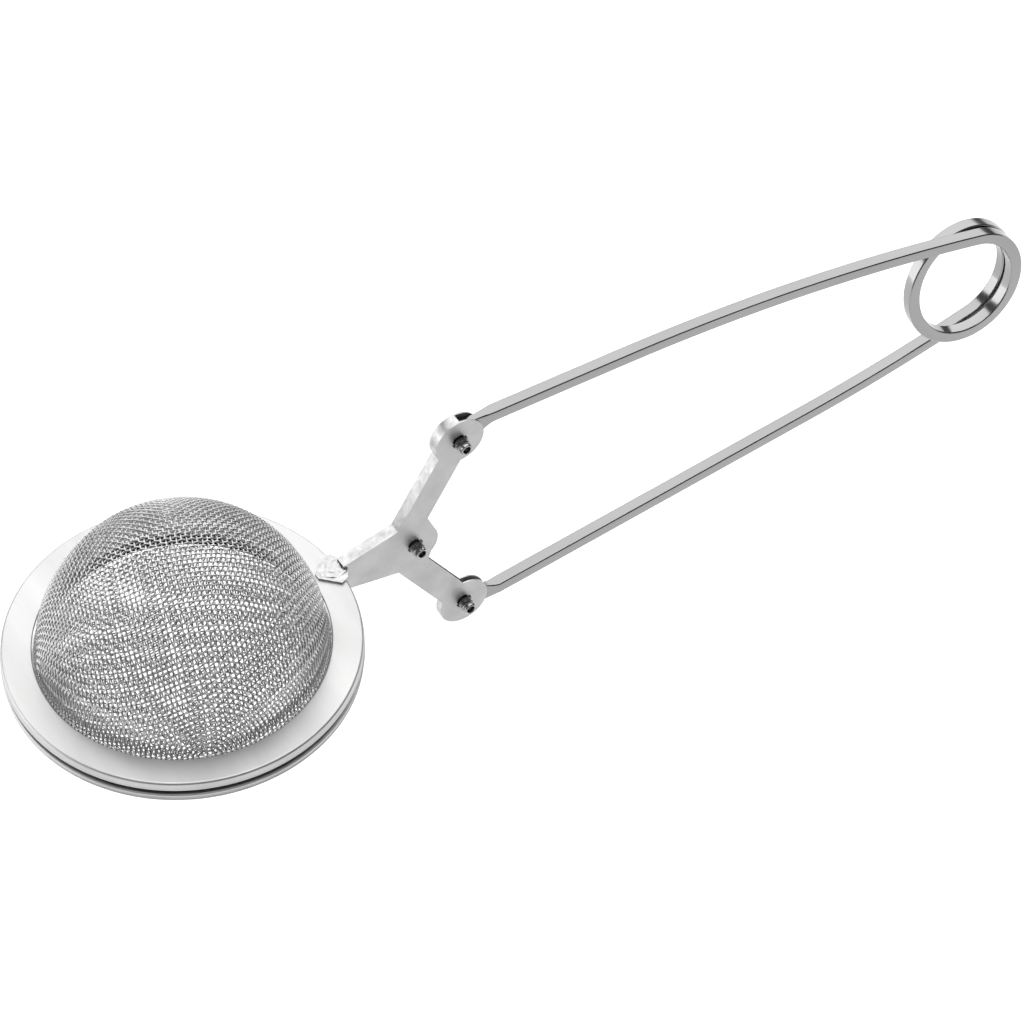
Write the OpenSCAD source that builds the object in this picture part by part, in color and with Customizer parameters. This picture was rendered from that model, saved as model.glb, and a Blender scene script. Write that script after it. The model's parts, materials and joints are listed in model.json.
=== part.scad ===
// Squeeze-handle tea strainer: two woven bowls on nested levers, opened by a sprung wire handle.
// The ball is closed. +X runs from the ball to the coil, +Z is up, the rivet tips point to -Y.
// The origin is on the standing plane under the middle of the whole strainer.

/* [Woven bowls] */
// Outer radius of each bowl
bowl_r = 24.3; // [20:0.1:30]
// Thickness of the weave, two wires deep
mesh_t = 0.6; // [0.4:0.05:0.9]
// Height of the upper bowl's centre above the middle plane
upper_bowl_lift = 1.2; // [0.8:0.05:1.6]
// Height of the lower bowl's centre below the middle plane, less than 0 for a shallower bowl
lower_bowl_lift = -0.8; // [-1:0.05:0.4]
// Thickness of the pressed mesh edge between flange and clamp ring
mesh_edge_t = 0.4; // [0.2:0.05:0.6]

/* [Flange rings] */
// Width of the flat flange
flange_w = 5.3; // [4:0.1:7]
// Gap between the bowl and the hole in its flange
flange_gap = 0.4; // [0.2:0.05:0.8]
// Height of the flange face above the middle plane
flange_top = 2.2; // [2:0.05:3]
// Sheet thickness of the flange
flange_t = 0.4; // [0.3:0.05:0.6]
// Height of the hemmed rim
rim_h = 1.2; // [0.9:0.05:1.6]
// Width of the hem folded inside the rim
hem_w = 1.2; // [0.8:0.1:1.5]
// Half of the gap between the two closed clamp rings
clamp_gap = 0.1; // [0.05:0.05:0.3]
// Fit between a clamp ring and the hem around it
clamp_fit = 0.1; // [0.05:0.05:0.3]

/* [Levers] */
// Sheet thickness of the levers
sheet_t = 0.3; // [0.25:0.05:0.45]
// Distance from the flange rim to the centre pivot
pivot_gap = 14; // [12:0.1:18]
// Distance of the handle eyes past the pivot
eye_reach = 9.2; // [7:0.1:12]
// Height of the handle eyes above and below the pivot
eye_rise = 20.6; // [17:0.1:25]
// Radius of the handle eyes
eye_r = 4.6; // [4.4:0.1:5.5]
// Radius of the pivot lobe
lobe_r = 4.4; // [3.5:0.1:4.8]
// Width of a lever's arm
lever_w = 4.9; // [4:0.1:6]
// Slope of a lever's arm
lever_angle = 58; // [54:1:62]
// Height of a lever's shoulder above the flange
shoulder_h = 1; // [0.6:0.1:2]
// Slope of a lever's back between shoulder and bend
back_slope = 11.7; // [8:0.1:15]
// Overlap of the two levers across the middle plane
lever_overlap = 0.5; // [0:0.1:1]
// Side play between moving sheets
side_play = 0.05; // [0.03:0.01:0.1]
// Length of the welded foot on the flange
foot_len = 4.3; // [3:0.1:4.8]
// Width of the welded foot at the rim
foot_w = 7; // [5:0.1:9]
// Thickness of the welded foot
foot_t = 0.4; // [0.3:0.05:0.6]

/* [Rivets] */
// Radius of a rivet's shank
shank_r = 1.45; // [1.2:0.05:1.7]
// Running clearance of a moving eye on its rivet
run_fit = 0.03; // [0.02:0.01:0.08]
// Radius of the rivet's barrel outside the sheet
barrel_r = 1.15; // [1:0.05:1.2]
// Radius of the rivet's tip
tip_r = 1; // [0.85:0.05:1.05]
// Radius of the hole in the tip
tip_hole_r = 0.65; // [0.4:0.05:0.75]
// Length that the barrel and tip stand out
tip_out = 2.3; // [1.5:0.1:3]
// Radius of the flat head on the far side
head_r = 2.3; // [2:0.1:3]
// Thickness of the flat head
head_t = 0.5; // [0.3:0.05:0.8]

/* [Spring handle] */
// Side of the square handle wire
wire = 2.2; // [1.8:0.1:2.6]
// Bevel along the wire's corners
wire_bevel = 0.35; // [0.2:0.05:0.5]
// Distance from the centre pivot to the coil's axis
handle_len = 110; // [85:1:140]
// Radius of the hole in the coil
coil_hole_r = 9.2; // [7:0.1:12]
// Gap between neighbouring turns of the coil
turn_gap = 0.3; // [0.25:0.05:0.5]
// Thickness of the lower arm's flattened end
flat_t = 0.8; // [0.6:0.05:1.2]
// Radius of the flattened eyes
flat_r = 3.4; // [3.3:0.05:3.6]
// Length of a flattened end from its eye to the full wire
flat_len = 7; // [6:0.1:9]
// Height of the upper arm above its eye
upper_offset = 2; // [0:0.1:2.2]
// Height of the lower arm below its eye
lower_offset = 0.8; // [0:0.1:2.2]
// Free play of the upper arm's eye on its rivet
open_play = 0.65; // [0.6:0.05:0.7]

/* [Hidden] */
$fn = 96;

// Extra slope of an arm where it leaves the coil, and missing slope at its eye
upper_lead = 8.2;
upper_tail = 4.8;
lower_lead = 6.6;
lower_tail = 1.4;
// Angle on the eye's circle where the lever's back ends
back_end = 88;
// Angle on the flattened eye where the top of its neck starts
neck_from = 58;

hole_r = bowl_r + flange_gap;
flange_r = hole_r + flange_w;
coil_r = coil_hole_r + wire / 2;
pitch = wire + turn_gap;
pivot_x = flange_r + pivot_gap;
coil_x = pivot_x + handle_len;
overall_len = flange_r + coil_x + coil_r + wire / 2;
ball_x = flange_r - overall_len / 2;
middle_z = max(bowl_r + lower_bowl_lift, eye_rise + eye_r);

lower_inner_w = flat_t + 2 * side_play;
lower_outer_w = lower_inner_w + 2 * sheet_t;
upper_inner_w = lower_outer_w + 2 * side_play;
upper_outer_w = upper_inner_w + 2 * sheet_t;

// The lever's outline, measured from the centre pivot
rim_clear = 0.25;
heel_x = rim_clear - pivot_gap;
heel_top = flange_top + shoulder_h;
along = [cos(lever_angle), sin(lever_angle)];
across = [-sin(lever_angle), cos(lever_angle)];
eye = [eye_reach, eye_rise];
arm_back = eye + across * lever_w / 2;
arm_front = eye - across * lever_w / 2;
back_run = (arm_back[1] - heel_top - tan(back_slope) * (arm_back[0] - heel_x))
           / (along[1] - tan(back_slope) * along[0]);
bend = arm_back - along * back_run;
notch = arm_front - along * (arm_front[1] - bend[1]) / along[1];

// Everything is modelled about the middle of the closed ball and moved here once
module placed() {
    translate([ball_x, 0, middle_z]) children();
}

module mirrored_below() {
    mirror([0, 0, 1]) children();
}

// Stands a flat outline up in the XZ plane, centred on Y
module upright(thickness) {
    rotate([90, 0, 0]) translate([0, 0, -thickness / 2]) linear_extrude(thickness) children();
}

module peg(radius, y_from, y_to) {
    translate([0, y_to, 0]) rotate([90, 0, 0]) cylinder(r = radius, h = y_to - y_from);
}

module ring(inner_r, outer_r, z_from, z_to) {
    translate([0, 0, z_from]) difference() {
        cylinder(r = outer_r, h = z_to - z_from);
        translate([0, 0, -1]) cylinder(r = inner_r, h = z_to - z_from + 2);
    }
}

// Bowl of the upper half, with its centre at height lift and a flat pressed edge
module mesh_half(lift) {
    edge_top = flange_top - flange_t;
    edge_bottom = edge_top - mesh_edge_t;
    rotate_extrude() {
        intersection() {
            translate([0, lift]) difference() {
                circle(r = bowl_r);
                circle(r = bowl_r - mesh_t);
            }
            translate([0, edge_bottom]) square([bowl_r + 1, bowl_r + lift]);
        }
        translate([bowl_r - mesh_t, edge_bottom])
            square([flange_r - hem_w - clamp_fit - bowl_r + mesh_t, mesh_edge_t]);
    }
}

module flange_half() {
    rotate_extrude() polygon([
        [hole_r, flange_top],
        [hole_r, flange_top - flange_t],
        [flange_r - hem_w, flange_top - flange_t],
        [flange_r - hem_w, flange_top - rim_h],
        [flange_r - 0.2, flange_top - rim_h],
        [flange_r, flange_top - rim_h + 0.2],
        [flange_r, flange_top - 0.3],
        [flange_r - 0.3, flange_top]
    ]);
}

module clamp_half() {
    ring(hole_r, flange_r - hem_w - clamp_fit, clamp_gap, flange_top - flange_t - mesh_edge_t);
}

// Unit vector that points from an edge of the lever's back into the channel
function inward(from, to) = [to[1] - from[1], from[0] - to[0]] / norm(to - from);

// Sector used to cut the curved back out of the eye's circle
module sector(radius, from, to) {
    steps = 4;
    polygon(concat([[0, 0]], [for (i = [0 : steps])
        let (a = from + (to - from) * i / steps) [radius * cos(a), radius * sin(a)]]));
}

// Point just inside the pivot lobe's edge
function lobe_point(angle) = (lobe_r - 0.05) * [cos(angle), sin(angle)];

module lever_outline() {
    polygon([
        [heel_x, heel_top],
        bend,
        arm_back,
        arm_front,
        notch,
        lobe_point(25),
        lobe_point(230),
        [-lobe_r - 1.5, -lobe_r / 3],
        [heel_x + 4, -lever_overlap],
        [heel_x, -lever_overlap]
    ]);
    translate(eye) circle(r = eye_r);
    circle(r = lobe_r);
}

// The channel's back: one sheet thick from the heel round the bend to the eye, then part of the way round it
module lever_back() {
    eye_meet = asin(lever_w / 2 / eye_r);
    heel = [heel_x, heel_top];
    back_top = arm_back - along * (eye_r * cos(eye_meet) - 0.15);
    into_heel = inward(heel, bend);
    into_arm = inward(bend, back_top);
    polygon([
        heel,
        bend,
        back_top,
        back_top + into_arm * sheet_t,
        bend + (into_heel + into_arm) * sheet_t / (1 + into_heel * into_arm),
        heel + into_heel * sheet_t
    ]);
    translate(eye) intersection() {
        difference() {
            circle(r = eye_r);
            circle(r = eye_r - sheet_t);
        }
        sector(2 * eye_r, back_end, lever_angle + 182 - eye_meet);
    }
}

// Fan-shaped foot that lies on the flange, measured from the centre pivot
module foot_outline() {
    rim_at = -pivot_gap;
    tip_w = 1.2;
    polygon([
        [rim_at - foot_len, -tip_w / 2],
        [rim_at - foot_len, tip_w / 2],
        [rim_at - foot_len / 3, foot_w / 2],
        [rim_at, foot_w / 2 - 0.6],
        [rim_at + 1.2, upper_inner_w / 2],
        [rim_at + 1.2, -upper_inner_w / 2],
        [rim_at, -foot_w / 2 + 0.6],
        [rim_at - foot_len / 3, -foot_w / 2]
    ]);
}

// Upper lever folded to a channel, with bores of pivot_bore and eye_bore radius
module lever(inner_w, pivot_bore, eye_bore) {
    outer_w = inner_w + 2 * sheet_t;
    translate([pivot_x, 0, 0]) difference() {
        union() {
            for (side = [-1, 1])
                translate([0, side * (inner_w + sheet_t) / 2, 0]) upright(sheet_t) lever_outline();
            upright(outer_w) lever_back();
            translate([0, 0, flange_top]) linear_extrude(foot_t) foot_outline();
        }
        peg(pivot_bore, -outer_w, outer_w);
        translate([eye[0], 0, eye[1]]) peg(eye_bore, -outer_w, outer_w);
    }
}

// Shouldered rivet through sheets that are held_w apart over all, with its tip towards -Y
module rivet(held_w) {
    sheet_face = held_w / 2;
    barrel_out = tip_out * 0.55;
    difference() {
        union() {
            peg(shank_r, -sheet_face - side_play, sheet_face + side_play);
            peg(head_r, sheet_face + side_play, sheet_face + side_play + head_t);
            peg(barrel_r, -sheet_face - barrel_out, 0);
            peg(tip_r, -sheet_face - tip_out, 0);
        }
        peg(tip_hole_r, -sheet_face - tip_out - 1, -sheet_face - tip_out * 0.4);
    }
}

module wire_section() {
    h = wire / 2;
    c = h - wire_bevel;
    polygon([[h, c], [c, h], [-c, h], [-h, c], [-h, -c], [-c, -h], [c, -h], [h, -c]]);
}

// Part of a round turn about the Y axis, from angle a to angle b, measured from +X towards +Z
module turn(radius, a, b) {
    rotate([90, 0, 0]) rotate([0, 0, a]) rotate_extrude(angle = b - a, $fn = 180)
        translate([radius, 0]) wire_section();
}

// Slope from the coil's top to where an arm's full wire ends, that end, and where the arm leaves the coil
function mean_slope(end) = atan((end[1] - coil_r) / (handle_len - end[0]));
function arm_end(offset) = [eye_reach + flat_len, eye_rise + offset];
function tangent_point(slope) = [handle_len + coil_r * sin(slope), coil_r * cos(slope)];

// Upper arm: bowed from the coil, then straight, then pressed flat around its eye.
// Its bow radius and straight length close the run between the coil and the eye.
module arm(end, lead, tail, thickness, bore, y_coil) {
    a = mean_slope(end) + lead;
    s = mean_slope(end) - tail;
    t = tangent_point(a);
    dx = t[0] - end[0];
    dz = end[1] - t[1];
    k = cos(a - s) - 1;
    bow_r = (dx * sin(s) - dz * cos(s)) / k;
    straight = ((sin(a) - sin(s)) * dz - (cos(s) - cos(a)) * dx) / k;
    slant = asin(y_coil / dx);
    translate([pivot_x, 0, 0]) difference() {
        union() {
            translate([end[0], 0, end[1]]) rotate([0, 0, slant]) {
                rotate([0, s, 0]) rotate([0, 90, 0]) linear_extrude(straight + 0.02) wire_section();
                translate([straight * cos(s), 0, -straight * sin(s)])
                    translate([-bow_r * sin(s), 0, -bow_r * cos(s)]) turn(bow_r, 90 - a, 90 - s);
            }
            upright(thickness) flat_outline(end, s);
        }
        translate([eye[0], 0, eye[1]]) peg(bore, -wire, wire);
    }
}

// Flattened eye and its neck, which reaches a little way into the full wire
module flat_outline(end, slope) {
    into = 1;
    h = wire / 2 - 0.1;
    run = [cos(slope), -sin(slope)];
    up = [sin(slope), cos(slope)];
    translate(eye) circle(r = flat_r);
    polygon([
        eye + (flat_r - 0.05) * [cos(neck_from), sin(neck_from)],
        end + up * h,
        end + run * into + up * h,
        end + run * into - up * h,
        end - up * h,
        eye + [flat_r - 0.4, -flat_r / 3]
    ]);
}

// Three tilted arcs: down the near side, up the ball side, down the far side.
// They overlap a little where they join, and split_angle parts the coil from the upper arm.
module coil_turns() {
    upper = mean_slope(arm_end(upper_offset)) + upper_lead;
    lower = mean_slope(arm_end(lower_offset)) + lower_lead;
    tilt = asin(pitch / 4 / coil_r);
    join = 0.5;
    split_angle = 0.3;
    translate([coil_x, 0, 0]) {
        translate([0, -pitch / 2, 0]) rotate([tilt, 0, 0]) turn(coil_r, -90 - join, 90 - upper - split_angle);
        rotate([-tilt, 0, 0]) turn(coil_r, 90 - join, 270 + join);
        translate([0, pitch / 2, 0]) rotate([tilt, 0, 0]) turn(coil_r, -90 + lower, 90 + join);
    }
}

module upper_mesh() { color("silver") placed() mesh_half(upper_bowl_lift); }
module lower_mesh() { color("silver") placed() mirrored_below() mesh_half(lower_bowl_lift); }
module upper_flange() { color("gainsboro") placed() flange_half(); }
module lower_flange() { color("gainsboro") placed() mirrored_below() flange_half(); }
module upper_clamp_ring() { color("darkgray") placed() clamp_half(); }
module lower_clamp_ring() { color("darkgray") placed() mirrored_below() clamp_half(); }

module upper_lever() {
    color("lightgray") placed() lever(upper_inner_w, shank_r + run_fit, shank_r);
}

module lower_lever() {
    color("lightgray") placed() mirrored_below() lever(lower_inner_w, shank_r, shank_r);
}

module pivot_rivet() {
    color("dimgray") placed() translate([pivot_x, 0, 0]) rivet(upper_outer_w);
}

module upper_rivet() {
    color("dimgray") placed() translate([pivot_x + eye[0], 0, eye[1]]) rivet(upper_outer_w);
}

module lower_rivet() {
    color("dimgray") placed() translate([pivot_x + eye[0], 0, -eye[1]]) rivet(lower_outer_w);
}

module upper_arm() {
    color("darkgray") placed() arm(arm_end(upper_offset), upper_lead, upper_tail,
        upper_inner_w - 2 * side_play, shank_r + open_play, -0.75 * pitch);
}

module lower_arm() {
    color("darkgray") placed() mirrored_below() arm(arm_end(lower_offset), lower_lead, lower_tail,
        flat_t, shank_r + run_fit, 0.75 * pitch);
}

module coil() { color("darkgray") placed() coil_turns(); }

lower_mesh();
lower_clamp_ring();
lower_flange();
lower_lever();
pivot_rivet();
lower_rivet();
upper_mesh();
upper_clamp_ring();
upper_flange();
upper_lever();
upper_rivet();
lower_arm();
coil();
upper_arm();
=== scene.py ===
import json
import math
from collections import namedtuple

import bmesh
import bpy
import numpy as np
from mathutils import Matrix, Vector


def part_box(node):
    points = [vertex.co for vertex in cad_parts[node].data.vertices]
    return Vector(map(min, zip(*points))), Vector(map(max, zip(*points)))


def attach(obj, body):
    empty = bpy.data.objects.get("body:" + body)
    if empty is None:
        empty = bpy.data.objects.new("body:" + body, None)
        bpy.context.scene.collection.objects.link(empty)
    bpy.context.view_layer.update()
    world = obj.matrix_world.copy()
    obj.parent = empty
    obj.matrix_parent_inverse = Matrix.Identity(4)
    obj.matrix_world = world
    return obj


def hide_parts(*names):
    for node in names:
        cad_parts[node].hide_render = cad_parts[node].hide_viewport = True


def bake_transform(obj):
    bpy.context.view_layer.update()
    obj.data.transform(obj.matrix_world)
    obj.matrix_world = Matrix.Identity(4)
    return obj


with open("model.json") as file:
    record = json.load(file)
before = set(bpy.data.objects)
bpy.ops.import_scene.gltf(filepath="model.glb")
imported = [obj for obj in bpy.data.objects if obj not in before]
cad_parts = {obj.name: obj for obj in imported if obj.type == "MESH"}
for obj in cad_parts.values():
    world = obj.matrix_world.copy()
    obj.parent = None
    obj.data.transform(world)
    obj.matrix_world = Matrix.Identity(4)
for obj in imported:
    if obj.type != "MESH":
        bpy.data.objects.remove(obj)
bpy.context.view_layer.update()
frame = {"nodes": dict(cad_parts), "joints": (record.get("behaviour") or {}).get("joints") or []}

MM = 0.001

# --- Places taken from the frame. The rings' heights are measured from the ball's middle plane --------

JOINT = {joint["name"]: Vector(joint["pos_m"]) for joint in frame["joints"]}
CENTRE_PIVOT = JOINT["opening"]
LOWER_EYE = JOINT["lower_arm_pivot"]
UPPER_EYE = Vector((LOWER_EYE.x, 0, 2 * CENTRE_PIVOT.z - LOWER_EYE.z))
COIL_AXIS = JOINT["coil_flex"]

FLANGE_LOW, FLANGE_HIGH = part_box("upper_flange")
RING_LOW, RING_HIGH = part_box("upper_clamp_ring")
BALL = Vector(((FLANGE_LOW.x + FLANGE_HIGH.x) / 2, 0, CENTRE_PIVOT.z))
BOWL_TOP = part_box("upper_mesh")[1].z - BALL.z
FLANGE_R = (FLANGE_HIGH.x - FLANGE_LOW.x) / 2
FLANGE_TOP = FLANGE_HIGH.z - BALL.z
CLAMP_R = (RING_HIGH.x - RING_LOW.x) / 2
CLAMP_BOTTOM = RING_LOW.z - BALL.z
CLAMP_TOP = RING_HIGH.z - BALL.z

# --- Sizes of the rings ------------------------------------------------------------------------------

HOLE_R = 24.7 * MM                  # hole in each flange, and inside of each clamp ring
SHEET_T = 0.4 * MM                  # flange sheet
HEM_W = 1.2 * MM                    # width of the folded hem
HEM_EXTRA = 0.5 * MM                # how much taller the hem is than the CAD one
RIM_BOTTOM = FLANGE_LOW.z - BALL.z - HEM_EXTRA
RING_SEGMENTS = 192

# --- Sizes of the woven bowls ------------------------------------------------------------------------

UPPER_LIFT = 1.2 * MM               # upper bowl's centre above the middle plane
LOWER_LIFT = -0.8 * MM              # lower bowl's centre below it: that bowl is shallower
BOWL_R = BOWL_TOP - UPPER_LIFT
SKIN_T = 0.6 * MM                   # room that the weave has
MESH_PITCH = 0.84 * MM              # from wire to wire
MESH_WIRE_R = 0.15 * MM
MESH_WIRE_SIDES = 5
CRIMP = 0.11 * MM                   # how far a mesh wire bends over and under
STATIONS_PER_CROSSING = 4           # stations along a mesh wire from one crossing to the next
WEAVE_END = 0.3 * MM                # height of the mesh wires' ends above the clamp ring
SHORTEST_REACH = 1 * MM             # wires whose circle barely clears the bowl's edge are left out
END_GAP = 0.004                     # least angle from a wire's end to its next station, in radians
UPPER_WEAVE_TURN = -20.0            # degrees from the handle's line
LOWER_WEAVE_TURN = -4.0
UPPER_LEAN = (0.8 * MM, 0.2 * MM)   # how far a bowl's top leans toward the handle and the back
LOWER_LEAN = (0.3 * MM, -0.2 * MM)

# --- Sizes of the levers, their feet and the rivets --------------------------------------------------

LEVER_EDGE = 0.07 * MM              # break along the levers' edges
FOOT_LEN = 4.2 * MM
FOOT_LIFT = 0.5 * MM                # foot above the flange
FOOT_PAST_RIM = 0.6 * MM            # foot past the flange's rim
FOOT_TIP_W = 1.0 * MM               # width of its inner end
FOOT_SPREAD = 3.2 * MM              # how much wider the foot is where it is widest
FOOT_WIDEST = 0.62                  # where that is, as a share of its length
FOOT_TAPER = 0.8 * MM               # and how much it narrows again to its end
FOOT_SHEET_T = 0.22 * MM
DENT_SIZE = 1.3 * MM
DENT_DEPTH = 0.5 * MM
SHANK_R = 1.42 * MM                 # rivet inside the levers
RIVET_HEAD_T = 0.5 * MM
RIVET_TIP_OUT = 2.3 * MM            # barrel and tip outside the lever
RIVET_CORE_R = 0.1 * MM             # where a rivet's outline starts and ends, beside its axis

# --- Sizes of the handle -----------------------------------------------------------------------------

WIRE = 2.2 * MM                     # side of the square handle wire
WIRE_BEVEL = 0.2 * MM
CORNER_BREAK = 0.07 * MM            # break along each edge of that bevel
EYE_FLAT_R = 3.65 * MM              # flattened eye at each end of the wire
UPPER_BORE_R = 2.1 * MM             # wide, for the upper eye's free play
LOWER_BORE_R = 1.48 * MM
NECK_LEN = 7.0 * MM                 # from the eye to the full wire
NECK_TOP = 58                       # where the neck leaves the eye, in degrees round it
NECK_BOTTOM = -28
NECK_EASE = 1.7                     # how soon the neck's underside levels out
SWELL_FROM = 3.6 * MM               # where the neck starts to thicken
COIL_R = 10.3 * MM
COIL_TILT = 8.5                     # degrees that the coil leans back
COIL_PITCH = 2.5 * MM
COIL_SQUEEZE = 0.2 * MM             # how much narrower than high the coil's turns are, each side

# lift is how far the wire runs outside its eye, steeper and flatter are the degrees by which its slope
# differs at the coil and at the eye from the line between them, and flat_t is the thickness of the eye
ArmShape = namedtuple("ArmShape", "lift steeper flatter flat_t")
UPPER_ARM = ArmShape(2.0 * MM, 8.2, 4.8, 1.5 * MM)
LOWER_ARM = ArmShape(0.8 * MM, 6.6, 1.4, 0.8 * MM)


# --- Working helpers ---------------------------------------------------------------------------------

MERGE_GAP = 0.002 * MM              # points nearer to each other than this become one


def deselect():
    if bpy.context.mode != "OBJECT":
        bpy.ops.object.mode_set(mode="OBJECT")
    bpy.ops.object.select_all(action="DESELECT")


def pick(obj):
    deselect()
    obj.select_set(True)
    bpy.context.view_layer.objects.active = obj


def name_new(name):
    """Names the primitive just added and puts its place into its mesh."""
    obj = bpy.context.object
    obj.name = name
    obj.data.name = name
    bpy.ops.object.transform_apply(location=True, rotation=True, scale=True)
    return obj


def edit(obj, mode="VERT"):
    pick(obj)
    bpy.ops.object.mode_set(mode="EDIT")
    bpy.ops.mesh.select_mode(type=mode)


def close_edit():
    """Merges doubles, turns all faces outward and leaves edit mode."""
    bpy.ops.mesh.select_all(action="SELECT")
    bpy.ops.mesh.remove_doubles(threshold=MERGE_GAP)
    bpy.ops.mesh.normals_make_consistent(inside=False)
    bpy.ops.object.mode_set(mode="OBJECT")


def face_outward(obj):
    edit(obj)
    bpy.ops.mesh.select_all(action="SELECT")
    bpy.ops.mesh.normals_make_consistent(inside=False)
    bpy.ops.object.mode_set(mode="OBJECT")


def apply_modifiers(obj):
    pick(obj)
    for modifier in list(obj.modifiers):
        bpy.ops.object.modifier_apply(modifier=modifier.name)


def smooth(obj, angle=30):
    pick(obj)
    bpy.ops.object.shade_smooth_by_angle(angle=math.radians(angle))


def even_normals(obj):
    """Keeps wide faces flat and lets the narrow ones between them turn."""
    modifier = obj.modifiers.new("weighted", "WEIGHTED_NORMAL")
    modifier.keep_sharp = True
    apply_modifiers(obj)


def mesh_object(name, points, faces):
    data = bpy.data.meshes.new(name)
    data.from_pydata([tuple(p) for p in points], [], faces)
    data.update()
    obj = bpy.data.objects.new(name, data)
    bpy.context.scene.collection.objects.link(obj)
    return obj


def skin_wire(faces, first, stations, sides):
    """Closed skin of a wire over its stations' rings of points, counted from the point first."""
    for station in range(stations - 1):
        here = first + station * sides
        for k in range(sides):
            n = (k + 1) % sides
            faces.append((here + k, here + n, here + sides + n, here + sides + k))
    last = first + (stations - 1) * sides
    faces.append(tuple(first + k for k in reversed(range(sides))))
    faces.append(tuple(last + k for k in range(sides)))


def turned(name, centre, profile, segments=RING_SEGMENTS, ring=True):
    """Turned about Z: a circle drawn out from point to point of a profile of radius and height. A ring's
    profile closes on itself, and a solid's starts and ends near the axis and is capped."""
    radius, height = profile[0]
    deselect()
    bpy.ops.mesh.primitive_circle_add(
        vertices=segments, radius=radius, location=centre + Vector((0, 0, height)))
    obj = name_new(name)
    edit(obj)
    bpy.ops.mesh.select_all(action="SELECT")
    for next_radius, next_height in profile[1:] + (profile[:1] if ring else []):
        bpy.ops.mesh.extrude_region_move(
            TRANSFORM_OT_translate={"value": (0, 0, next_height - height)})
        grow = next_radius / radius
        bpy.ops.transform.resize(value=(grow, grow, 1), center_override=centre)
        radius, height = next_radius, next_height
    if not ring:
        bpy.ops.mesh.select_all(action="SELECT")
        bpy.ops.mesh.fill_holes(sides=0)
    close_edit()
    return obj


def arc(centre, radius, start, end, steps):
    """Points of an arc in a profile, in degrees."""
    angles = [math.radians(start + (end - start) * i / steps) for i in range(steps + 1)]
    return [(centre[0] + radius * math.cos(a), centre[1] + radius * math.sin(a)) for a in angles]


def mirrored_copy(obj, name):
    """A copy of a piece of the upper half for the lower one, mirrored in the middle plane."""
    pick(obj)
    bpy.ops.object.duplicate()
    copy = bpy.context.object
    copy.name = name
    copy.data.name = name
    bpy.ops.object.mode_set(mode="EDIT")
    bpy.ops.mesh.select_all(action="SELECT")
    bpy.ops.transform.resize(value=(1, 1, -1), center_override=(0, 0, BALL.z))
    bpy.ops.mesh.flip_normals()
    bpy.ops.object.mode_set(mode="OBJECT")
    return copy


# --- Materials ---------------------------------------------------------------------------------------

TONE_SCALE = 1.7                    # scale of the colour's clouds against the roughness's
SCRATCH_SCALE = 0.12                # scale of the scratches against the fine grain's
GRAIN_DEPTH = 0.02 * MM


def node_group(name, inputs, output):
    """New shader node group with a vector, float inputs with their values, and one float output."""
    group = bpy.data.node_groups.new(name, "ShaderNodeTree")
    group.interface.new_socket("Vector", in_out="INPUT", socket_type="NodeSocketVector")
    for socket_name, value in inputs.items():
        socket = group.interface.new_socket(socket_name, in_out="INPUT", socket_type="NodeSocketFloat")
        socket.default_value = value
    group.interface.new_socket(output, in_out="OUTPUT", socket_type="NodeSocketFloat")
    start = group.nodes.new("NodeGroupInput")
    end = group.nodes.new("NodeGroupOutput")
    return group, start, end


def make_haze():
    """Soft clouds of rougher and smoother metal, as handling and polishing leave."""
    group, start, end = node_group("haze", {"Scale": 120.0, "Low": 0.2, "High": 0.3}, "Value")
    noise = group.nodes.new("ShaderNodeTexNoise")
    noise.inputs["Detail"].default_value = 4.0
    noise.inputs["Roughness"].default_value = 0.6
    group.links.new(start.outputs["Vector"], noise.inputs["Vector"])
    group.links.new(start.outputs["Scale"], noise.inputs["Scale"])
    spread = group.nodes.new("ShaderNodeMapRange")
    spread.inputs["From Min"].default_value = 0.35
    spread.inputs["From Max"].default_value = 0.65
    group.links.new(noise.outputs["Fac"], spread.inputs["Value"])
    group.links.new(start.outputs["Low"], spread.inputs["To Min"])
    group.links.new(start.outputs["High"], spread.inputs["To Max"])
    group.links.new(spread.outputs["Result"], end.inputs["Value"])
    return group


def make_grain():
    """Fine rolled grain with a few longer scratches in it."""
    group, start, end = node_group("grain", {"Scale": 4000.0, "Scratch Scale": 300.0}, "Height")
    fine = group.nodes.new("ShaderNodeTexNoise")
    fine.inputs["Detail"].default_value = 3.0
    group.links.new(start.outputs["Vector"], fine.inputs["Vector"])
    group.links.new(start.outputs["Scale"], fine.inputs["Scale"])
    stretch = group.nodes.new("ShaderNodeMapping")
    stretch.inputs["Scale"].default_value = (0.12, 1.0, 1.0)
    stretch.inputs["Rotation"].default_value = (0.0, 0.3, 0.5)
    group.links.new(start.outputs["Vector"], stretch.inputs["Vector"])
    lines = group.nodes.new("ShaderNodeTexNoise")
    lines.inputs["Detail"].default_value = 6.0
    lines.inputs["Roughness"].default_value = 0.75
    group.links.new(stretch.outputs["Vector"], lines.inputs["Vector"])
    group.links.new(start.outputs["Scratch Scale"], lines.inputs["Scale"])
    both = group.nodes.new("ShaderNodeMath")
    both.operation = "ADD"
    group.links.new(fine.outputs["Fac"], both.inputs[0])
    group.links.new(lines.outputs["Fac"], both.inputs[1])
    group.links.new(both.outputs[0], end.inputs["Height"])
    return group


HAZE = make_haze()
GRAIN = make_grain()


def coordinates(tree, source, scale):
    where = tree.nodes.new("ShaderNodeTexCoord")
    mapping = tree.nodes.new("ShaderNodeMapping")
    mapping.inputs["Scale"].default_value = scale
    tree.links.new(where.outputs[source], mapping.inputs["Vector"])
    return mapping.outputs["Vector"]


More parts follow.
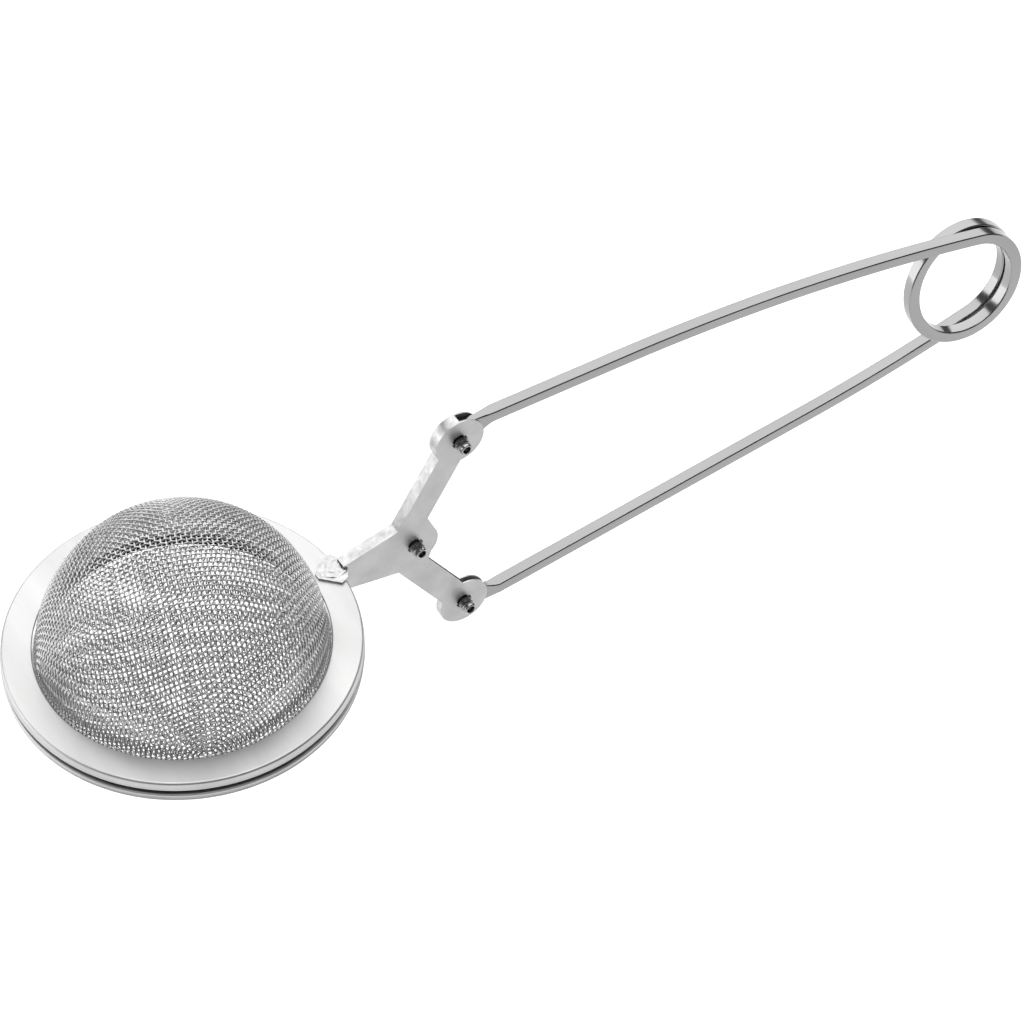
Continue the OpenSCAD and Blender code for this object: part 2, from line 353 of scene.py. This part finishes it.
def place_group(tree, group, vector, **values):
    """Places a group on those coordinates. A name's underscores stand for spaces in the socket's."""
    node = tree.nodes.new("ShaderNodeGroup")
    node.node_tree = group
    tree.links.new(vector, node.inputs["Vector"])
    for socket_name, value in values.items():
        node.inputs[socket_name.replace("_", " ")].default_value = value
    return node.outputs[0]


def steel(name, light, dark, roughness, haze_scale, grain_scale, bump, source="Object", stretch=(1, 1, 1)):
    """Bare stainless steel: clouded colour and roughness, and a fine grain in the surface."""
    material = bpy.data.materials.new(name)
    material.use_nodes = True
    tree = material.node_tree
    shader = tree.nodes["Principled BSDF"]
    shader.inputs["Metallic"].default_value = 1.0
    vector = coordinates(tree, source, stretch)
    tone = place_group(tree, HAZE, vector, Scale=haze_scale * TONE_SCALE, Low=0.0, High=1.0)
    blend = tree.nodes.new("ShaderNodeMix")
    blend.data_type = "RGBA"
    blend.inputs["A"].default_value = (*dark, 1)
    blend.inputs["B"].default_value = (*light, 1)
    tree.links.new(tone, blend.inputs["Factor"])
    tree.links.new(blend.outputs["Result"], shader.inputs["Base Color"])
    rough = place_group(tree, HAZE, vector, Scale=haze_scale, Low=roughness[0], High=roughness[1])
    tree.links.new(rough, shader.inputs["Roughness"])
    height = place_group(tree, GRAIN, vector, Scale=grain_scale, Scratch_Scale=grain_scale * SCRATCH_SCALE)
    bumps = tree.nodes.new("ShaderNodeBump")
    bumps.inputs["Strength"].default_value = bump
    bumps.inputs["Distance"].default_value = GRAIN_DEPTH
    tree.links.new(height, bumps.inputs["Height"])
    tree.links.new(bumps.outputs["Normal"], shader.inputs["Normal"])
    return material


def grey(value, warm=0.0):
    return (value + warm, value, value - warm)


FLANGE_STEEL = steel("satin_flange_steel", grey(0.58, 0.002), grey(0.53, 0.002), roughness=(0.4, 0.5),
                     haze_scale=90, grain_scale=5200, bump=0.5, stretch=(1, 0.12, 1))
LEVER_STEEL = steel("satin_lever_steel", grey(0.47), grey(0.42), roughness=(0.38, 0.48),
                    haze_scale=160, grain_scale=4800, bump=0.35)
# Lighter steel for the faces across a lever's fold: a painted highlight, a lit copy of the lever steel
PAINTED_HIGHLIGHT_STEEL = steel("painted_highlight_fold_steel", grey(0.6), grey(0.42), roughness=(0.34, 0.46),
                   haze_scale=420, grain_scale=4200, bump=0.55)
# Near-black steel for the clamp rings: painted shade for the dark gap seen through the mesh under the
# flanges
CLAMP_STEEL = steel("painted_shade_ring_steel", grey(0.05), grey(0.02), roughness=(0.3, 0.45),
                    haze_scale=140, grain_scale=3600, bump=0.4)
RIVET_STEEL = steel("bright_rivet_steel", grey(0.42), grey(0.3), roughness=(0.14, 0.24),
                    haze_scale=700, grain_scale=6000, bump=0.3)
MESH_STEEL = steel("woven_wire_steel", grey(0.64), grey(0.5), roughness=(0.14, 0.24),
                   haze_scale=260, grain_scale=5000, bump=0.15)
HANDLE_STEEL = steel("drawn_handle_steel", grey(0.34), grey(0.28), roughness=(0.14, 0.22),
                     haze_scale=60, grain_scale=2500, bump=0.3, source="UV", stretch=(0.08, 1, 1))
WELD_STEEL = steel("weld_steel", grey(0.56), grey(0.45), roughness=(0.3, 0.45),
                   haze_scale=900, grain_scale=3000, bump=0.5)


def finish_piece(obj, body, material, node):
    """Gives a piece its material and its body, and hides the CAD node that it stands for."""
    obj.data.materials.clear()
    obj.data.materials.append(material)
    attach(obj, body)
    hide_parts(node)


# --- Woven bowls -------------------------------------------------------------------------------------

def crimped_route(wire, family, side, lift, lean, turn):
    """Route of one wire in its own plane across a bowl, over and under the wires of the other set, with the
    way out of the bowl along it, or None where there is no room for the wire. side is 1 for the upper bowl
    and -1 for the lower, and family 0 or 1 for the two sets."""
    radius = BOWL_R - SKIN_T / 2
    drop = lift - CLAMP_TOP - WEAVE_END
    tilt = wire * MESH_PITCH / radius
    circle_r = radius * math.cos(tilt)
    if circle_r < abs(drop) + SHORTEST_REACH:
        return None
    heading = math.radians(turn + 90 * family)
    across_axis = np.array([math.cos(heading), math.sin(heading), 0.0])
    along_axis = np.array([-math.sin(heading), math.cos(heading), 0.0])
    up = np.array([0.0, 0.0, float(side)])
    steps = int(STATIONS_PER_CROSSING * (math.pi / 2 - abs(tilt)) * radius / MESH_PITCH)
    crossing = np.arange(-steps, steps + 1) / STATIONS_PER_CROSSING
    swing = np.arcsin(np.clip(np.sin(crossing * MESH_PITCH / radius) / math.cos(tilt), -1, 1))
    rim = math.pi / 2 + math.asin(drop / circle_r)
    swing = swing[abs(swing) < rim - END_GAP]
    swing = np.concatenate([[-rim], swing, [rim]])
    crossing = radius / MESH_PITCH * np.arcsin(np.clip(math.cos(tilt) * np.sin(swing), -1, 1))
    outward = (math.sin(tilt) * across_axis[None, :]
               + math.cos(tilt) * np.sin(swing)[:, None] * along_axis
               + math.cos(tilt) * np.cos(swing)[:, None] * up)
    over = CRIMP * np.cos(math.pi * crossing) * (-1) ** (wire + family)
    route = np.array(BALL) + up * lift + outward * (radius + over)[:, None]
    route[:, :2] += np.maximum(outward @ up, 0)[:, None] * np.array(lean)
    return route, outward


def unit_rows(rows):
    return rows / np.linalg.norm(rows, axis=1)[:, None]


def woven_wires(name, family, side, lift, lean, turn):
    """One of a bowl's two sets of crimped wires."""
    ring_angles = np.linspace(0, 2 * math.pi, MESH_WIRE_SIDES, endpoint=False)
    wires_each_way = int((BOWL_R - SKIN_T / 2) * math.pi / 2 / MESH_PITCH)
    points, faces = [], []
    for wire in range(-wires_each_way, wires_each_way + 1):
        found = crimped_route(wire, family, side, lift, lean, turn)
        if found is None:
            continue
        route, outward = found
        tangent = unit_rows(np.gradient(route, axis=0))
        beside = unit_rows(np.cross(tangent, outward))
        above = np.cross(beside, tangent)
        first = len(points)
        for place, b, a in zip(route, beside, above):
            for angle in ring_angles:
                points.append(place + MESH_WIRE_R * (math.cos(angle) * b + math.sin(angle) * a))
        skin_wire(faces, first, len(route), MESH_WIRE_SIDES)
    obj = mesh_object(name, points, faces)
    face_outward(obj)
    smooth(obj, 80)
    return obj


def pressed_edge(name):
    """Flat edge of the bowl, pressed between flange and clamp ring."""
    top = FLANGE_TOP - SHEET_T
    edge_in = BOWL_R - SKIN_T / 3
    corner, bend = 0.1 * MM, 0.35 * MM
    profile = [(edge_in, CLAMP_TOP), (edge_in + corner, top - corner), (edge_in + bend, top),
               (CLAMP_R, top), (CLAMP_R, CLAMP_TOP)]
    obj = turned(name, BALL, profile)
    smooth(obj)
    return obj


def make_bowls():
    for half, side, lift, lean, turn in (("upper", 1, UPPER_LIFT, UPPER_LEAN, UPPER_WEAVE_TURN),
                                         ("lower", -1, LOWER_LIFT, LOWER_LEAN, LOWER_WEAVE_TURN)):
        for family, kind in enumerate(("warp", "weft")):
            wires = woven_wires(half + "_bowl_" + kind + "_wires", family, side, lift, lean, turn)
            finish_piece(wires, half + "_half", MESH_STEEL, half + "_mesh")
    edge = pressed_edge("upper_bowl_pressed_edge")
    lower = mirrored_copy(edge, "lower_bowl_pressed_edge")
    finish_piece(edge, "upper_half", MESH_STEEL, "upper_mesh")
    finish_piece(lower, "lower_half", MESH_STEEL, "lower_mesh")


# --- Flanges and clamp rings -------------------------------------------------------------------------

def make_flanges():
    """Flat satin ring with a rolled inner lip, a rounded shoulder and a hem folded under its rim."""
    top, under = FLANGE_TOP, FLANGE_TOP - SHEET_T
    lip = SHEET_T / 2
    shoulder = 0.45 * MM
    shoulder_in = 0.12 * MM       # the shoulder stands in from the rim, over a shallow groove
    groove_in = 0.192 * MM
    groove_drop = 0.06 * MM
    bead = 0.3 * MM
    hem_edge = 0.1 * MM
    profile = arc((HOLE_R + lip, top - lip), lip, 270, 90, 8)
    profile += arc((FLANGE_R - shoulder_in - shoulder, top - shoulder), shoulder, 90, 0, 6)
    profile += [(FLANGE_R - groove_in, top - shoulder - groove_drop)]
    profile += arc((FLANGE_R - bead, RIM_BOTTOM + bead), bead, 40, -90, 8)
    profile += arc((FLANGE_R - HEM_W + hem_edge, RIM_BOTTOM + hem_edge), hem_edge, 270, 180, 3)
    profile += [(FLANGE_R - HEM_W, under)]
    upper = turned("upper_flange_ring", BALL, profile)
    smooth(upper, 40)
    even_normals(upper)
    lower = mirrored_copy(upper, "lower_flange_ring")
    finish_piece(upper, "upper_half", FLANGE_STEEL, "upper_flange")
    finish_piece(lower, "lower_half", FLANGE_STEEL, "lower_flange")


def make_clamp_rings():
    """Flat ring with its four edges rounded, coloured near black as painted shade."""
    edge = 0.25 * MM
    corners = ((HOLE_R + edge, CLAMP_BOTTOM + edge, 270), (HOLE_R + edge, CLAMP_TOP - edge, 180),
               (CLAMP_R - edge, CLAMP_TOP - edge, 90), (CLAMP_R - edge, CLAMP_BOTTOM + edge, 0))
    profile = []
    for radius, height, start in corners:
        profile += arc((radius, height), edge, start, start - 90, 4)
    upper = turned("upper_clamping_ring", BALL, profile)
    smooth(upper, 40)
    even_normals(upper)
    lower = mirrored_copy(upper, "lower_clamping_ring")
    finish_piece(upper, "upper_half", CLAMP_STEEL, "upper_clamp_ring")
    finish_piece(lower, "lower_half", CLAMP_STEEL, "lower_clamp_ring")


# --- Levers ------------------------------------------------------------------------------------------

def make_lever(node, name, body):
    """Folded sheet lever: a copy of its CAD shape with its edges broken, and a painted highlight on its
    fold, where the faces across the fold get a lighter steel.
    """
    deselect()
    data = frame["nodes"][node].data.copy()
    data.name = name
    obj = bpy.data.objects.new(name, data)
    bpy.context.scene.collection.objects.link(obj)
    edit(obj, "EDGE")
    bpy.ops.mesh.select_all(action="SELECT")
    bpy.ops.mesh.remove_doubles(threshold=MERGE_GAP / 2)
    bpy.ops.mesh.dissolve_limited(angle_limit=math.radians(1.5))
    bpy.ops.mesh.select_all(action="DESELECT")
    bpy.ops.object.mode_set(mode="OBJECT")
    edge_break = obj.modifiers.new("broken edges", "BEVEL")
    edge_break.width = LEVER_EDGE
    edge_break.segments = 2
    edge_break.limit_method = "ANGLE"
    edge_break.angle_limit = math.radians(35)
    apply_modifiers(obj)
    smooth(obj, 35)
    even_normals(obj)
    finish_piece(obj, body, LEVER_STEEL, node)
    obj.data.materials.append(PAINTED_HIGHLIGHT_STEEL)
    # the faces across the fold, chosen by the way they face, get the lighter steel as a painted highlight
    for polygon in obj.data.polygons:
        across_the_fold = abs(polygon.normal.y) < 0.5
        polygon.material_index = 1 if across_the_fold else 0


# --- Welded feet -------------------------------------------------------------------------------------

def foot_width(t):
    """Width of a foot at a share t of its length: spreading first, then narrowing a little."""
    width = FOOT_TIP_W + FOOT_SPREAD * math.sin(min(1.0, t / FOOT_WIDEST) * math.pi / 2)
    if t > FOOT_WIDEST:
        width -= (t - FOOT_WIDEST) / (1 - FOOT_WIDEST) * FOOT_TAPER
    return width


def make_foot(name, side):
    """Crumpled fan of spot-welded sheet that holds a lever to its flange."""
    middle_x = BALL.x + FLANGE_R - FOOT_LEN / 2 + FOOT_PAST_RIM
    columns, rows = 26, 30
    deselect()
    bpy.ops.mesh.primitive_grid_add(
        x_subdivisions=columns, y_subdivisions=rows, size=1,
        location=(middle_x, 0, BALL.z + side * (FLANGE_TOP + FOOT_LIFT)))
    bpy.context.object.scale = (FOOT_LEN, 1, 1)
    foot = name_new(name)
    edit(foot)
    grid = bmesh.from_edit_mesh(foot.data)
    for column in range(columns + 1):
        t = column / columns
        x = middle_x - FOOT_LEN / 2 + t * FOOT_LEN
        bpy.ops.mesh.select_all(action="DESELECT")
        for vertex in grid.verts:
            vertex.select = abs(vertex.co.x - x) < FOOT_LEN / columns / 4
        bmesh.update_edit_mesh(foot.data)
        bpy.ops.transform.resize(value=(1, foot_width(t), 1), center_override=(x, 0, BALL.z))
    bpy.ops.object.mode_set(mode="OBJECT")
    dents = bpy.data.textures.new("weld_dents", "CLOUDS")
    dents.noise_scale = DENT_SIZE
    dents.noise_depth = 2
    push = foot.modifiers.new("dents", "DISPLACE")
    push.texture = dents
    push.strength = DENT_DEPTH
    push.mid_level = 0.55
    sheet = foot.modifiers.new("sheet", "SOLIDIFY")
    sheet.thickness = FOOT_SHEET_T
    apply_modifiers(foot)
    smooth(foot, 50)
    return foot


def make_feet():
    for half, side in (("upper", 1), ("lower", -1)):
        foot = make_foot(half + "_welded_foot", side)
        finish_piece(foot, half + "_half", WELD_STEEL, half + "_lever")


# --- Rivets ------------------------------------------------------------------------------------------

def in_mm(start, *points):
    """Points of a profile, given as radius and as height above start."""
    return [(radius * MM, start + height * MM) for radius, height in points]


def make_rivet(node, name, body, centre):
    """Tubular rivet with a stepped barrel and a bore in its tip, and a flat head on the far side."""
    low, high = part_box(node)
    tip, bottom = -low.y, -high.y
    head_r = (high.x - low.x) / 2
    face = tip - RIVET_TIP_OUT
    head = [(RIVET_CORE_R, bottom), (head_r - 0.25 * MM, bottom), (head_r - 0.06 * MM, bottom + 0.08 * MM),
            (head_r, bottom + 0.25 * MM), (head_r - 0.05 * MM, bottom + RIVET_HEAD_T)]
    shank = [(SHANK_R, bottom + RIVET_HEAD_T), (SHANK_R, face - 0.55 * MM)]
    neck = in_mm(face, (1.12, -0.6), (1.12, 0.3))
    wide_step = in_mm(face, (1.24, 0.36), (1.28, 0.45), (1.28, 0.82), (1.22, 0.9), (1.12, 0.93))
    next_step = in_mm(face, (1.12, 1.02), (1.2, 1.08), (1.24, 1.16), (1.24, 1.42), (1.16, 1.5), (1.08, 1.54))
    mouth = in_mm(tip, (1.08, -0.2), (1.04, -0.08), (0.96, 0), (0.8, 0), (0.72, -0.06), (0.68, -0.2))
    bore = in_mm(tip, (0.66, -1.2)) + [(RIVET_CORE_R, tip - 1.35 * MM)]
    profile = head + shank + neck + wide_step + next_step + mouth + bore
    obj = turned(name, Vector((0, 0, 0)), profile, 48, ring=False)
    edit(obj)
    bpy.ops.mesh.select_all(action="SELECT")
    bpy.ops.transform.rotate(value=math.radians(-90), orient_axis="X", center_override=(0, 0, 0))
    bpy.ops.transform.translate(value=centre)
    bpy.ops.object.mode_set(mode="OBJECT")
    smooth(obj, 35)
    finish_piece(obj, body, RIVET_STEEL, node)


# --- Handle ------------------------------------------------------------------------------------------

# A station of the wire: its place in the XZ plane measured from the centre pivot, its slope, its half height
# and half thickness, and how far along it is from the arm's neck (0) to the coil's side (1)
Station = namedtuple("Station", "x z slope tall thick share")

EYE_ANGLES = (178, 172, 165, 155, 145, 135, 125, 115, 105, 95, 85, 75, 66)
NECK_STEPS = 8
STRAIGHT_STEPS = 8
BOW_STEPS = 32
COIL_STEPS = 140


def wire_outline():
    """The square wire's section with bevelled corners, each corner again slightly broken."""
    half = WIRE / 2
    flat = half - WIRE_BEVEL
    corners = [(half, flat), (flat, half), (-flat, half), (-half, flat),
               (-half, -flat), (-flat, -half), (flat, -half), (half, -flat)]
    outline = []
    for k, corner in enumerate(corners):
        for other in (corners[k - 1], corners[(k + 1) % len(corners)]):
            way = Vector(other) - Vector(corner)
            outline.append(Vector(corner) + way.normalized() * CORNER_BREAK)
    return outline


def eye_and_neck(eye, shape, slope):
    """Stations round the flattened eye, then along the neck, which grows into the square wire."""
    half = WIRE / 2
    flat_half = shape.flat_t / 2
    stations = []
    for angle in EYE_ANGLES:
        a = math.radians(angle)
        stations.append(Station(eye[0] + EYE_FLAT_R * math.cos(a), eye[1], 0.0,
                                EYE_FLAT_R * math.sin(a), flat_half, 0.0))
    top_from, under_from = math.radians(NECK_TOP), math.radians(NECK_BOTTOM)
    neck_x, top_z = EYE_FLAT_R * math.cos(top_from), EYE_FLAT_R * math.sin(top_from)
    under_x, under_z = EYE_FLAT_R * math.cos(under_from), EYE_FLAT_R * math.sin(under_from)
    for step in range(NECK_STEPS + 1):
        t = step / NECK_STEPS
        x = neck_x + (NECK_LEN - neck_x) * t
        top = top_z * (1 - t) + (shape.lift + half) * t
        u = max(0.0, (x - under_x) / (NECK_LEN - under_x))
        if u == 0.0:
            bottom = -math.sqrt(EYE_FLAT_R ** 2 - x ** 2)
        else:
            ease = 1 - max(0.0, 1 - u) ** NECK_EASE
            bottom = under_z * (1 - ease) + (shape.lift - half) * ease
        swell = min(1.0, max(0.0, (x - SWELL_FROM) / (NECK_LEN - SWELL_FROM)))
        stations.append(Station(eye[0] + x, eye[1] + (top + bottom) / 2, -slope * t, (top - bottom) / 2,
                                flat_half + (half - flat_half) * swell, 0.0))
    return stations


def arm_stations(eye, shape):
    """Stations of one arm from its eye to the coil, as it lies above the coil's axis, and its slope at the
    coil. It runs straight on from its neck and then bows into the coil's side."""
    length = COIL_AXIS.x - CENTRE_PIVOT.x
    end_x, end_z = eye[0] + NECK_LEN, eye[1] + shape.lift
    mean = math.atan((end_z - COIL_R) / (length - end_x))
    steep = mean + math.radians(shape.steeper)
    flat = mean - math.radians(shape.flatter)
    run = length + COIL_R * math.sin(steep) - end_x
    rise = end_z - COIL_R * math.cos(steep)
    k = math.cos(steep - flat) - 1
    bow_r = (run * math.sin(flat) - rise * math.cos(flat)) / k
    straight = ((math.sin(steep) - math.sin(flat)) * rise - (math.cos(flat) - math.cos(steep)) * run) / k
    half = WIRE / 2
    stations = eye_and_neck(eye, shape, flat)
    for step in range(1, STRAIGHT_STEPS + 1):
        d = straight * step / STRAIGHT_STEPS
        x, z = end_x + d * math.cos(flat), end_z - d * math.sin(flat)
        stations.append(Station(x, z, -flat, half, half, (x - end_x) / run))
    start_x, start_z = stations[-1].x, stations[-1].z
    for step in range(1, BOW_STEPS + 1):
        slope = flat + (steep - flat) * step / BOW_STEPS
        x = start_x + bow_r * (math.sin(slope) - math.sin(flat))
        z = start_z + bow_r * (math.cos(slope) - math.cos(flat))
        stations.append(Station(x, z, -slope, half, half, (x - end_x) / run))
    return stations, steep


def handle_path():
    """The whole wire from the upper eye round the coil to the lower eye: place, slope, half height and half
    thickness. The coil leans back, and each arm drifts sideways to meet it."""
    eye = (UPPER_EYE.x - CENTRE_PIVOT.x, UPPER_EYE.z - CENTRE_PIVOT.z)
    upper, upper_steep = arm_stations(eye, UPPER_ARM)
    lower, lower_steep = arm_stations(eye, LOWER_ARM)
    half = WIRE / 2
    side_y = 0.75 * COIL_PITCH
    lean = math.tan(math.radians(COIL_TILT)) * COIL_R
    upper_y = lean * math.cos(upper_steep) - side_y
    lower_y = side_y - lean * math.cos(lower_steep)
    upper_reach = COIL_SQUEEZE * (1 - math.sin(upper_steep))
    lower_reach = COIL_SQUEEZE * (1 - math.sin(lower_steep))
    path = []
    for s in upper:
        place = Vector((s.x + upper_reach * s.share, upper_y * s.share, s.z))
        path.append((place, s.slope, s.tall, s.thick))
    turn_from = math.pi / 2 - upper_steep
    turn_to = -2.5 * math.pi + lower_steep
    for step in range(1, COIL_STEPS):
        angle = turn_from + (turn_to - turn_from) * step / COIL_STEPS
        x = COIL_AXIS.x - CENTRE_PIVOT.x + COIL_SQUEEZE + (COIL_R - COIL_SQUEEZE) * math.cos(angle)
        y = side_y * (2 * step / COIL_STEPS - 1) + lean * math.sin(angle)
        path.append((Vector((x, y, COIL_R * math.sin(angle))), angle - math.pi / 2, half, half))
    for s in reversed(lower):
        place = Vector((s.x + lower_reach * s.share, lower_y * s.share, -s.z))
        path.append((place, -s.slope - 3 * math.pi, s.tall, s.thick))
    return path


def unroll_wire(obj, along, sides):
    """UV map with the length along the wire in U and the way round it in V."""
    uv = obj.data.uv_layers.new(name="along_wire")
    perimeter = 4 * WIRE
    side_faces = (len(along) - 1) * sides
    for polygon in obj.data.polygons:
        last_side = polygon.index < side_faces and polygon.index % sides == sides - 1
        for corner, loop in zip(polygon.vertices, polygon.loop_indices):
            around = corner % sides
            if last_side and around == 0:
                around = sides
            uv.data[loop].uv = (along[corner // sides], around / sides * perimeter)


def bore_eye(obj, centre, radius):
    deselect()
    bpy.ops.mesh.primitive_cylinder_add(vertices=48, radius=radius, depth=6 * MM, location=centre,
                                        rotation=(math.pi / 2, 0, 0))
    drill = name_new("drill")
    cut = obj.modifiers.new("bore", "BOOLEAN")
    cut.object = drill
    cut.operation = "DIFFERENCE"
    cut.solver = "EXACT"
    apply_modifiers(obj)
    bpy.data.objects.remove(drill)


def make_handle():
    """One drawn wire from eye to eye, wound round the coil."""
    outline = wire_outline()
    half = WIRE / 2
    points, faces, along = [], [], []
    path = handle_path()
    travelled, previous = 0.0, path[0][0]
    for place, slope, tall, thick in path:
        travelled += (place - previous).length
        previous = place
        normal = Vector((-math.sin(slope), 0, math.cos(slope)))
        for across, high in outline:
            offset = Vector((0, across / half * thick, 0)) + normal * (high / half * tall)
            points.append(CENTRE_PIVOT + place + offset)
        along.append(travelled)
    skin_wire(faces, 0, len(path), len(outline))
    obj = mesh_object("handle_wire", points, faces)
    unroll_wire(obj, along, len(outline))
    face_outward(obj)
    bore_eye(obj, UPPER_EYE, UPPER_BORE_R)
    bore_eye(obj, LOWER_EYE, LOWER_BORE_R)
    smooth(obj, 30)
    even_normals(obj)
    obj.data.materials.clear()
    obj.data.materials.append(HANDLE_STEEL)
    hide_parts("lower_arm", "coil", "upper_arm")
    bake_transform(obj)


# --- Studio ------------------------------------------------------------------------------------------

VIEW_TARGET = BALL + Vector((62.6, -1.5, -2.6)) * MM
VIEW_AZIMUTH = -30.6
VIEW_ELEVATION = 49.3
VIEW_ROLL = -1.3
VIEW_DISTANCE = 1.11
LENS = 232.7
FLOOR_DROP = 38 * MM                # the strainer is held up, so that its handle can swing down as it opens
FLOOR_SIZE = 6.0
FLOOR_GLOW = 0.5
ROOM_LIGHT = (0.11, 0.112, 0.115, 1)


def toward(azimuth, elevation):
    """Unit vector from the object to a place at that azimuth and elevation, in degrees."""
    a, e = math.radians(azimuth), math.radians(elevation)
    return Vector((math.sin(a) * math.cos(e), -math.cos(a) * math.cos(e), math.sin(e)))


def make_camera():
    data = bpy.data.cameras.new("camera")
    data.lens = LENS
    data.sensor_width = 36.0
    data.clip_start, data.clip_end = 0.01, 20.0
    camera = bpy.data.objects.new("camera", data)
    bpy.context.scene.collection.objects.link(camera)
    back = toward(VIEW_AZIMUTH, VIEW_ELEVATION)
    aim = (-back).to_track_quat("-Z", "Y").to_matrix().to_4x4()
    roll = Matrix.Rotation(math.radians(VIEW_ROLL), 4, "Z")
    camera.matrix_world = Matrix.Translation(VIEW_TARGET + back * VIEW_DISTANCE) @ aim @ roll
    bpy.context.scene.camera = camera


def softbox(name, azimuth, elevation, distance, width, height, power):
    """Rectangular light turned to the object. Angles are in degrees, sizes in metres, power in watts."""
    data = bpy.data.lights.new(name, "AREA")
    data.shape = "RECTANGLE"
    data.size, data.size_y = width, height
    data.energy = power
    light = bpy.data.objects.new(name, data)
    bpy.context.scene.collection.objects.link(light)
    way = toward(azimuth, elevation)
    light.matrix_world = (Matrix.Translation(way * distance)
                          @ (-way).to_track_quat("-Z", "Y").to_matrix().to_4x4())
    light.visible_camera = False


def make_floor():
    deselect()
    bpy.ops.mesh.primitive_plane_add(size=FLOOR_SIZE, location=(0, 0, -FLOOR_DROP))
    floor = name_new("floor")
    material = bpy.data.materials.new("pale_floor")
    material.use_nodes = True
    shader = material.node_tree.nodes["Principled BSDF"]
    shader.inputs["Base Color"].default_value = (0.86, 0.86, 0.86, 1)
    shader.inputs["Roughness"].default_value = 0.9
    shader.inputs["Emission Color"].default_value = (1, 1, 1, 1)
    shader.inputs["Emission Strength"].default_value = FLOOR_GLOW
    floor.data.materials.append(material)


def make_world():
    """Dim room all round, which is white only where the camera looks past the floor."""
    world = bpy.data.worlds.new("studio")
    bpy.context.scene.world = world
    world.use_nodes = True
    tree = world.node_tree
    room = tree.nodes["Background"]
    room.inputs["Color"].default_value = ROOM_LIGHT
    white = tree.nodes.new("ShaderNodeBackground")
    white.inputs["Color"].default_value = (1, 1, 1, 1)
    path = tree.nodes.new("ShaderNodeLightPath")
    mix = tree.nodes.new("ShaderNodeMixShader")
    tree.links.new(path.outputs["Is Camera Ray"], mix.inputs[0])
    tree.links.new(room.outputs[0], mix.inputs[1])
    tree.links.new(white.outputs[0], mix.inputs[2])
    tree.links.new(mix.outputs[0], tree.nodes["World Output"].inputs["Surface"])


def make_studio():
    make_floor()
    make_world()
    softbox("back_softbox", azimuth=149.4, elevation=50, distance=0.9, width=1.4, height=1.1, power=9.0)
    softbox("left_softbox", azimuth=235, elevation=10, distance=1.0, width=0.9, height=0.8, power=5.4)
    softbox("top_softbox", azimuth=-30, elevation=84, distance=1.0, width=0.6, height=0.6, power=2.4)
    softbox("front_fill", azimuth=-60, elevation=35, distance=1.4, width=0.4, height=0.4, power=0.5)
    bpy.context.scene.view_settings.view_transform = "Standard"


# --- The strainer ------------------------------------------------------------------------------------

make_camera()
make_studio()
make_bowls()
make_flanges()
make_clamp_rings()
make_lever("upper_lever", "upper_folded_lever", "upper_half")
make_lever("lower_lever", "lower_folded_lever", "lower_half")
make_feet()
make_rivet("upper_rivet", "upper_tube_rivet", "upper_half", UPPER_EYE)
make_rivet("pivot_rivet", "pivot_tube_rivet", "lower_half", CENTRE_PIVOT)
make_rivet("lower_rivet", "lower_tube_rivet", "lower_half", LOWER_EYE)
make_handle()
